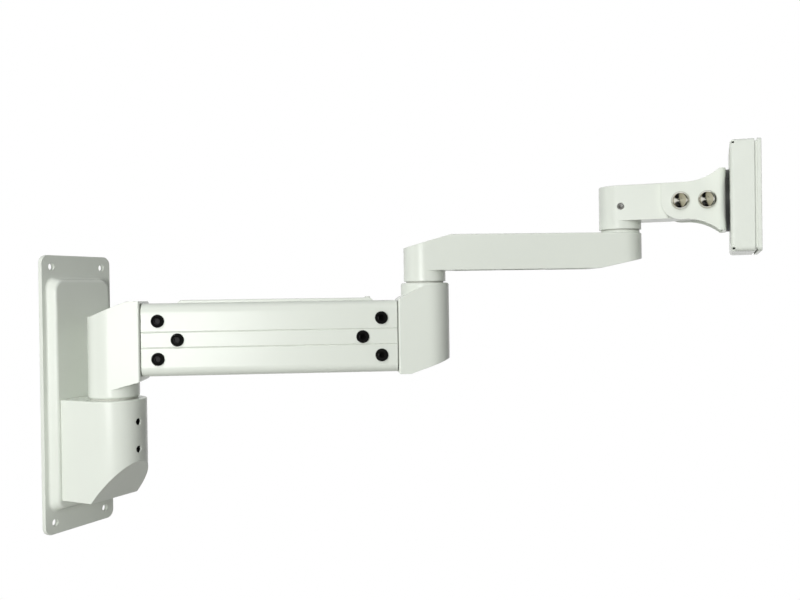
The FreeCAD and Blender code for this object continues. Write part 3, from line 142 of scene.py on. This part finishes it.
# The fine peel of sprayed paint, faint patches in its tone, and painted shade in corners where ambient
# occlusion finds them, which also roughen there like dust
def makePaintGroup(settings):
    tree, start, end = newGroup(
        "sprayedPaint",
        [("Peel Scale", "NodeSocketFloat", 420.0), ("Patch Scale", "NodeSocketFloat", 14.0),
         ("Corner Depth", "NodeSocketFloat", 0.006), ("Color", "NodeSocketColor", (0.8, 0.8, 0.8, 1)),
         ("Shaded Corner Color", "NodeSocketColor", (0.5, 0.5, 0.45, 1)), ("Roughness", "NodeSocketFloat", 0.3)],
        [("Color", "NodeSocketColor"), ("Roughness", "NodeSocketFloat"), ("Height", "NodeSocketFloat")])
    where = addNode(tree, "ShaderNodeTexCoord", (-900, 300))
    peel = addNode(tree, "ShaderNodeTexNoise", (-400, 400), Detail=2.0, Roughness=0.45)
    fine = addNode(tree, "ShaderNodeTexVoronoi", (-400, 150), feature="SMOOTH_F1", Smoothness=0.8)
    patch = addNode(tree, "ShaderNodeTexNoise", (-400, -100), Detail=3.0, Roughness=0.5)
    corner = addNode(tree, "ShaderNodeAmbientOcclusion", (-400, -350), samples=settings["samples"])
    for texture in (peel, fine, patch):
        tree.links.new(where.outputs["Object"], texture.inputs["Vector"])
    tree.links.new(start.outputs["Peel Scale"], peel.inputs["Scale"])
    fineScale = mathNode(tree, "MULTIPLY", start.outputs["Peel Scale"], settings["fineShare"], (-600, 150))
    tree.links.new(fineScale, fine.inputs["Scale"])
    tree.links.new(start.outputs["Patch Scale"], patch.inputs["Scale"])
    tree.links.new(start.outputs["Corner Depth"], corner.inputs["Distance"])
    height = mathNode(tree, "MULTIPLY_ADD", fine.outputs["Distance"], settings["fineHeight"], (-100, 300))
    tree.links.new(peel.outputs["Fac"], height.node.inputs[2])
    tone = mapNode(tree, (-150, -100), settings["toneFrom"], settings["toneTo"],
                   interpolation_type="SMOOTHSTEP")
    tree.links.new(patch.outputs["Fac"], tone.inputs["Value"])
    shaded = addNode(tree, "ShaderNodeVectorMath", (100, 50), operation="SCALE")
    tree.links.new(start.outputs["Color"], shaded.inputs[0])
    tree.links.new(tone.outputs["Result"], shaded.inputs["Scale"])
    # painted shade: ambient occlusion darkens the colour towards the corner colour, and the same mask raises
    # roughness like dust
    shadeAndDust = mapNode(tree, (100, -350), settings["shadeAndDustFrom"], (settings["shadeAndDustMost"], 0.0))
    tree.links.new(corner.outputs["AO"], shadeAndDust.inputs["Value"])
    blend = addNode(tree, "ShaderNodeMix", (400, 100), data_type="RGBA")
    tree.links.new(shadeAndDust.outputs["Result"], blend.inputs[0])
    tree.links.new(shaded.outputs["Vector"], blend.inputs[6])
    tree.links.new(start.outputs["Shaded Corner Color"], blend.inputs[7])
    rough = mathNode(tree, "MULTIPLY_ADD", shadeAndDust.outputs["Result"], settings["dustRoughness"], (400, -200))
    varied = mathNode(tree, "MULTIPLY", start.outputs["Roughness"], tone.outputs["Result"], (250, -300))
    tree.links.new(varied, rough.node.inputs[2])
    tree.links.new(blend.outputs[2], end.inputs["Color"])
    tree.links.new(rough, end.inputs["Roughness"])
    tree.links.new(height, end.inputs["Height"])
    return tree


# Fine scratches and smears on bare or plated metal
def makeMetalGroup(settings):
    tree, start, end = newGroup(
        "handledMetal",
        [("Scale", "NodeSocketFloat", 300.0), ("Stretch", "NodeSocketVector", (1.0, 1.0, 1.0)),
         ("Color", "NodeSocketColor", (0.6, 0.6, 0.6, 1)), ("Stain", "NodeSocketColor", (0.4, 0.4, 0.35, 1)),
         ("Roughness", "NodeSocketFloat", 0.3), ("Spread", "NodeSocketFloat", 0.1)],
        [("Color", "NodeSocketColor"), ("Roughness", "NodeSocketFloat"), ("Height", "NodeSocketFloat")])
    where = addNode(tree, "ShaderNodeTexCoord", (-900, 200))
    pull = addNode(tree, "ShaderNodeVectorMath", (-650, 200), operation="MULTIPLY")
    marks = addNode(tree, "ShaderNodeTexNoise", (-400, 250), Detail=4.0, Roughness=0.6)
    smear = addNode(tree, "ShaderNodeTexNoise", (-400, -50), Scale=settings["smearScale"], Detail=2.0)
    tree.links.new(where.outputs["Object"], pull.inputs[0])
    tree.links.new(start.outputs["Stretch"], pull.inputs[1])
    tree.links.new(pull.outputs["Vector"], marks.inputs["Vector"])
    tree.links.new(where.outputs["Object"], smear.inputs["Vector"])
    tree.links.new(start.outputs["Scale"], marks.inputs["Scale"])
    stained = mapNode(tree, (-100, -50), settings["smearFrom"])
    tree.links.new(smear.outputs["Fac"], stained.inputs["Value"])
    blend = addNode(tree, "ShaderNodeMix", (200, 100), data_type="RGBA")
    tree.links.new(stained.outputs["Result"], blend.inputs[0])
    tree.links.new(start.outputs["Color"], blend.inputs[6])
    tree.links.new(start.outputs["Stain"], blend.inputs[7])
    swing = mathNode(tree, "MULTIPLY", marks.outputs["Fac"], start.outputs["Spread"], (0, -250))
    rough = mathNode(tree, "ADD", start.outputs["Roughness"], swing, (200, -250))
    tree.links.new(blend.outputs[2], end.inputs["Color"])
    tree.links.new(rough, end.inputs["Roughness"])
    tree.links.new(marks.outputs["Fac"], end.inputs["Height"])
    return tree


edgeGroup = makeEdgeGroup(effects)
paintGroup = makePaintGroup(effects)
metalGroup = makeMetalGroup(effects)


# Finishes

def newMaterial(name, kind="ShaderNodeBsdfPrincipled"):
    material = bpy.data.materials.new(name)
    material.use_nodes = True
    tree = material.node_tree
    tree.nodes.clear()
    output = addNode(tree, "ShaderNodeOutputMaterial", (900, 0))
    shader = addNode(tree, kind, (600, 0))
    tree.links.new(shader.outputs[0], output.inputs["Surface"])
    return material, tree, shader


def finishBump(tree, shader, height, look):
    edges = useGroup(tree, edgeGroup, (-300, -400), Radius=look["edgeRadius"])
    bump = addNode(tree, "ShaderNodeBump", (50, -300), Strength=look["strength"], Distance=look["height"])
    tree.links.new(height, bump.inputs["Height"])
    tree.links.new(edges.outputs["Normal"], bump.inputs["Normal"])
    tree.links.new(bump.outputs["Normal"], shader.inputs["Normal"])


def paintMaterial(name, look):
    material, tree, shader = newMaterial(name)
    paint = useGroup(tree, paintGroup, (-300, 0), **{
        "Peel Scale": look["peelScale"], "Color": (*look["color"], 1),
        "Shaded Corner Color": (*look["shadedCornerColor"], 1), "Roughness": look["roughness"],
        "Corner Depth": look["cornerDepth"]})
    finishBump(tree, shader, paint.outputs["Height"], look)
    tree.links.new(paint.outputs["Color"], shader.inputs["Base Color"])
    tree.links.new(paint.outputs["Roughness"], shader.inputs["Roughness"])
    shader.inputs["IOR"].default_value = look["ior"]
    return material


def metalMaterial(name, look):
    material, tree, shader = newMaterial(name)
    metal = useGroup(tree, metalGroup, (-300, 0), **{
        "Scale": look["scale"], "Stretch": look["stretch"], "Color": (*look["color"], 1),
        "Stain": (*look["stain"], 1), "Roughness": look["roughness"], "Spread": look["spread"]})
    finishBump(tree, shader, metal.outputs["Height"], look)
    tree.links.new(metal.outputs["Color"], shader.inputs["Base Color"])
    tree.links.new(metal.outputs["Roughness"], shader.inputs["Roughness"])
    shader.inputs["Metallic"].default_value = look["metallic"]
    shader.inputs["IOR"].default_value = look["ior"]
    return material


offWhite = {
    "color": (0.775, 0.815, 0.745),
    # colour of the painted shade in corners
    "shadedCornerColor": (0.58, 0.60, 0.55),
    "roughness": 0.27,
    "peelScale": 420.0,
    "strength": 0.25,
    "height": 0.00006,
    "cornerDepth": 0.005,
    "edgeRadius": 0.0006,
    "ior": 1.5,
}
castPaint = dict(offWhite, peelScale=300.0, height=0.00009, edgeRadius=0.0009)
sheetPaint = dict(offWhite, edgeRadius=0.0005)
smoothPaint = dict(offWhite, peelScale=520.0, height=0.00003, edgeRadius=0.0004)
bareMetal = {
    "color": (0.56, 0.56, 0.55),
    "stain": (0.48, 0.47, 0.44),
    "roughness": 0.2,
    "spread": 0.15,
    "metallic": 1.0,
    "ior": 1.5,
    "scale": 300.0,
    "stretch": (1, 1, 1),
    "edgeRadius": 0.0003,
    "strength": 0.3,
    "height": 0.00004,
}
groundSteel = dict(bareMetal, stretch=(1, 1, 14), height=0.00002)
zincPlate = dict(bareMetal, color=(0.60, 0.61, 0.60), stain=(0.52, 0.50, 0.42), roughness=0.26, spread=0.2,
                 scale=700.0)
brightChrome = dict(bareMetal, color=(0.68, 0.67, 0.63), stain=(0.60, 0.58, 0.51), roughness=0.04,
                    spread=0.08, scale=1200.0, strength=0.1, height=0.00002)
blackOxide = dict(bareMetal, color=(0.003, 0.003, 0.003), stain=(0.007, 0.007, 0.006), roughness=0.05,
                  spread=0.08, metallic=0.0, ior=1.15, scale=900.0)
paleAcetal = dict(bareMetal, color=(0.62, 0.63, 0.58), stain=(0.58, 0.58, 0.52), roughness=0.38,
                  metallic=0.0, scale=800.0)
blackNylon = dict(bareMetal, color=(0.018, 0.018, 0.018), stain=(0.03, 0.03, 0.03), roughness=0.42,
                  spread=0.2, metallic=0.0, scale=1500.0, strength=0.5, height=0.00005)

finishes = {
    paintMaterial("sheetPaint", sheetPaint): ["wall_plate", "tilt_bracket", "vesa_tray", "monitor_plate"],
    paintMaterial("castPaint", castPaint): [
        "wall_bracket", "base_knuckle", "elbow_knuckle", "upper_arm", "swivel_block"],
    paintMaterial("extrusionPaint", smoothPaint): ["main_arm_extrusion", "cable_cover"],
    metalMaterial("blackOxide", blackOxide): ["base_end_screws", "elbow_end_screws", "friction_set_screws"],
    metalMaterial("brightChrome", brightChrome): ["tilt_bolt", "lock_bolt"],
    metalMaterial("zincPlate", zincPlate): [
        "bracket_fixing_screws", "tilt_nut", "lock_nut", "rotation_bolt", "rotation_nut", "plate_screws",
        "swivel_set_screw"],
    metalMaterial("groundSteel", groundSteel): ["base_spindle", "elbow_spindle", "wrist_spindle"],
    metalMaterial("paleAcetal", paleAcetal): [
        "base_bush_upper", "base_bush_lower", "base_thrust_washer", "elbow_bush_upper", "elbow_bush_lower",
        "elbow_thrust_washer", "wrist_bush", "wrist_thrust_washer", "tilt_friction_washers"],
    metalMaterial("blackNylon", blackNylon): ["rotation_disc"],
}
for material, names in finishes.items():
    for name in names:
        nodes[name].data.materials.clear()
        nodes[name].data.materials.append(material)
print("finishes given:", len(finishes))


# Ground, lamps and world

ground = {
    "level": -0.42,
    "radius": 3.0,
    "corners": 96,
    "centre": (0.33, 0.13),
    "color": (0.82, 0.83, 0.82),
    "bounce": (0.42, 0.42, 0.39),  # the colour of the light it sends back up
    "lift": 0.36,  # white added to what the camera sees
    "fade": (0.34, 0.54),  # distances over which it turns into the white beyond
}


def whiteRays(tree, place):
    path = addNode(tree, "ShaderNodeLightPath", place)
    seen = mathNode(tree, "ADD", path.outputs["Is Camera Ray"], path.outputs["Is Glossy Ray"],
                    (place[0] + 200, place[1]), clamp=True)
    return mathNode(tree, "ADD", seen, path.outputs["Is Transmission Ray"], (place[0] + 400, place[1]),
                    clamp=True)


def makeGround(settings):
    material, tree, mix = newMaterial("ground", "ShaderNodeMixShader")
    seen = whiteRays(tree, (-900, -200))
    tone = addNode(tree, "ShaderNodeMix", (-200, 200), data_type="RGBA")
    tone.inputs[6].default_value = (*settings["bounce"], 1)
    tone.inputs[7].default_value = (*settings["color"], 1)
    matte = addNode(tree, "ShaderNodeBsdfDiffuse", (0, 200))
    lift = addNode(tree, "ShaderNodeEmission", (0, 0))
    white = addNode(tree, "ShaderNodeEmission", (0, -200), Strength=1.0)
    near = addNode(tree, "ShaderNodeAddShader", (250, 100))
    tree.links.new(seen, tone.inputs[0])
    tree.links.new(tone.outputs[2], matte.inputs["Color"])
    tree.links.new(mathNode(tree, "MULTIPLY", seen, settings["lift"], (-200, -50)), lift.inputs["Strength"])
    tree.links.new(matte.outputs["BSDF"], near.inputs[0])
    tree.links.new(lift.outputs["Emission"], near.inputs[1])
    where = addNode(tree, "ShaderNodeTexCoord", (-900, 300))
    reach = addNode(tree, "ShaderNodeVectorMath", (-650, 300), operation="LENGTH")
    fade = mapNode(tree, (-400, 300), settings["fade"], interpolation_type="SMOOTHSTEP")
    tree.links.new(where.outputs["Object"], reach.inputs[0])
    tree.links.new(reach.outputs["Value"], fade.inputs["Value"])
    tree.links.new(mathNode(tree, "MULTIPLY", fade.outputs["Result"], seen, (250, -200)), mix.inputs[0])
    tree.links.new(near.outputs["Shader"], mix.inputs[1])
    tree.links.new(white.outputs["Emission"], mix.inputs[2])
    bpy.ops.object.select_all(action="DESELECT")
    bpy.ops.mesh.primitive_circle_add(vertices=settings["corners"], radius=settings["radius"],
                                      fill_type="NGON", location=(*settings["centre"], settings["level"]))
    floor = bpy.context.object
    floor.name = "ground"
    floor.data.materials.append(material)


lamps = {
    "sideWindow": {"place": (0.45, -0.83, 0.03), "aim": (0.25, 0.09, 0.04), "size": (0.34, 0.34),
                   "watts": 3.0, "roll": -12, "spread": 180, "mirrored": True},
    "frontFill": {"place": (0.5, -2.2, 0.6), "aim": (0.5, 0.2, 0.1), "size": (1.4, 1.2),
                  "watts": 25.5, "roll": 0, "spread": 180, "mirrored": False},
    "highFill": {"place": (0.3, -1.6, 1.9), "aim": (0.4, 0.15, 0.05), "size": (1.2, 1.2),
                 "watts": 15.5, "roll": 0, "spread": 180, "mirrored": False},
    "headFill": {"place": (0.8, -0.4, 0.42), "aim": (0.66, 0.28, 0.17), "size": (0.3, 0.3),
                 "watts": 0.07, "roll": 0, "spread": 60, "mirrored": False},
    "backFill": {"place": (-0.9, 2.2, 0.45), "aim": (0.4, 0.2, 0.15), "size": (1.4, 0.8),
                 "watts": 26, "roll": 0, "spread": 180, "mirrored": False},
    "topFill": {"place": (0.3, 0.2, 1.7), "aim": (0.33, 0.13, 0.0), "size": (1.6, 1.6),
                "watts": 1, "roll": 0, "spread": 180, "mirrored": True},
}


def makeLamps(settings):
    for name, lamp in settings.items():
        light = bpy.data.lights.new(name, "AREA")
        light.shape = "RECTANGLE"
        light.size, light.size_y = lamp["size"]
        light.energy = lamp["watts"]
        light.spread = math.radians(lamp["spread"])
        holder = bpy.data.objects.new(name, light)
        scene.collection.objects.link(holder)
        aim = Vector(lamp["aim"]) - Vector(lamp["place"])
        turn = aim.to_track_quat("-Z", "Y").to_matrix().to_4x4()
        spin = Matrix.Rotation(math.radians(lamp["roll"]), 4, "Z")
        holder.matrix_world = Matrix.Translation(lamp["place"]) @ turn @ spin
        holder.visible_camera = False
        holder.visible_glossy = lamp["mirrored"]


# A dark card behind the camera, which only reflections show
darkCard = {
    "place": (0.45, -1.6, 0.3),
    "size": (3.2, 2.6),
    "turn": 0,
    "color": (0.006, 0.006, 0.006),
}

# A sheet just before the two bolt heads, which only reflections show: a painted reflection on the chrome
# heads. Around the middle of each head it has wedges of white, black and beige, anticlockwise from nine
# o'clock.
boltReflectionSheet = {
    "place": (0.6233, 0.2556, 0.2001),
    "size": (0.1, 0.1),
    "turn": 6.9,
    "pitch": 0.0272,  # from one head to the other
    "wedges": [
        (0.0, (1.0, 1.0, 0.98)), (0.05, (1.0, 1.0, 0.98)), (0.10, (0.005, 0.005, 0.005)),
        (0.27, (0.005, 0.005, 0.005)), (0.32, (0.45, 0.43, 0.32)), (0.5, (0.66, 0.65, 0.52)),
        (0.74, (0.45, 0.43, 0.32)), (0.79, (0.005, 0.005, 0.005)), (0.91, (0.005, 0.005, 0.005)),
        (0.96, (1.0, 1.0, 0.98)),
    ],
}


def standSheet(name, settings, material):
    bpy.ops.object.select_all(action="DESELECT")
    bpy.ops.mesh.primitive_plane_add(size=1, location=settings["place"],
                                     rotation=(math.radians(90), 0, math.radians(settings["turn"])))
    sheet = bpy.context.object
    sheet.name = name
    sheet.scale = (*settings["size"], 1)
    bpy.ops.object.transform_apply(location=False, rotation=False, scale=True)
    sheet.data.materials.append(material)
    sheet.visible_camera = False
    sheet.visible_diffuse = False
    sheet.visible_transmission = False
    sheet.visible_shadow = False


def makeDarkCard(settings):
    material, _, glow = newMaterial("darkCard", "ShaderNodeEmission")
    glow.inputs["Color"].default_value = (*settings["color"], 1)
    standSheet("backCard", settings, material)


def makeBoltReflectionSheet(settings):
    # painted reflection: the sheet glows in white, black and beige wedges that the chrome heads mirror
    material, tree, glow = newMaterial("paintedReflectionGlow", "ShaderNodeEmission")
    where = addNode(tree, "ShaderNodeTexCoord", (-900, 0))
    parts = addNode(tree, "ShaderNodeSeparateXYZ", (-700, 0))
    tree.links.new(where.outputs["Object"], parts.inputs["Vector"])
    near = mathNode(tree, "FLOORED_MODULO", parts.outputs["X"], settings["pitch"], (-500, 0))
    across = mathNode(tree, "SUBTRACT", near, settings["pitch"] / 2, (-300, 0))
    angle = mathNode(tree, "ARCTAN2", parts.outputs["Y"], across, (-100, 0))
    share = mapNode(tree, (100, 0), (-math.pi, math.pi))
    ramp = addNode(tree, "ShaderNodeValToRGB", (300, 0))
    steps = ramp.color_ramp.elements
    for place, color in settings["wedges"][2:]:
        steps.new(place)
    for step, (place, color) in zip(steps, settings["wedges"]):
        step.position = place
        step.color = (*color, 1)
    tree.links.new(angle, share.inputs["Value"])
    tree.links.new(share.outputs["Result"], ramp.inputs["Fac"])
    tree.links.new(ramp.outputs["Color"], glow.inputs["Color"])
    standSheet("boltReflectionSheet", settings, material)


studio = {
    "strength": 0.06,
    "tint": (0.98, 1.0, 0.98),
}


def makeWorld(settings):
    world = bpy.data.worlds.new("studio")
    world.use_nodes = True
    scene.world = world
    tree = world.node_tree
    tree.nodes.clear()
    output = addNode(tree, "ShaderNodeOutputWorld", (600, 0))
    glow = addNode(tree, "ShaderNodeBackground", (0, 100), Color=(*settings["tint"], 1),
                   Strength=settings["strength"])
    white = addNode(tree, "ShaderNodeBackground", (0, -100), Color=(1, 1, 1, 1), Strength=1.0)
    mix = addNode(tree, "ShaderNodeMixShader", (300, 0))
    tree.links.new(whiteRays(tree, (-700, 0)), mix.inputs[0])
    tree.links.new(glow.outputs["Background"], mix.inputs[1])
    tree.links.new(white.outputs["Background"], mix.inputs[2])
    tree.links.new(mix.outputs["Shader"], output.inputs["Surface"])


makeGround(ground)
makeLamps(lamps)
makeDarkCard(darkCard)
makeBoltReflectionSheet(boltReflectionSheet)
makeWorld(studio)
scene.view_settings.view_transform = "Standard"
print("ground and lamps ready")
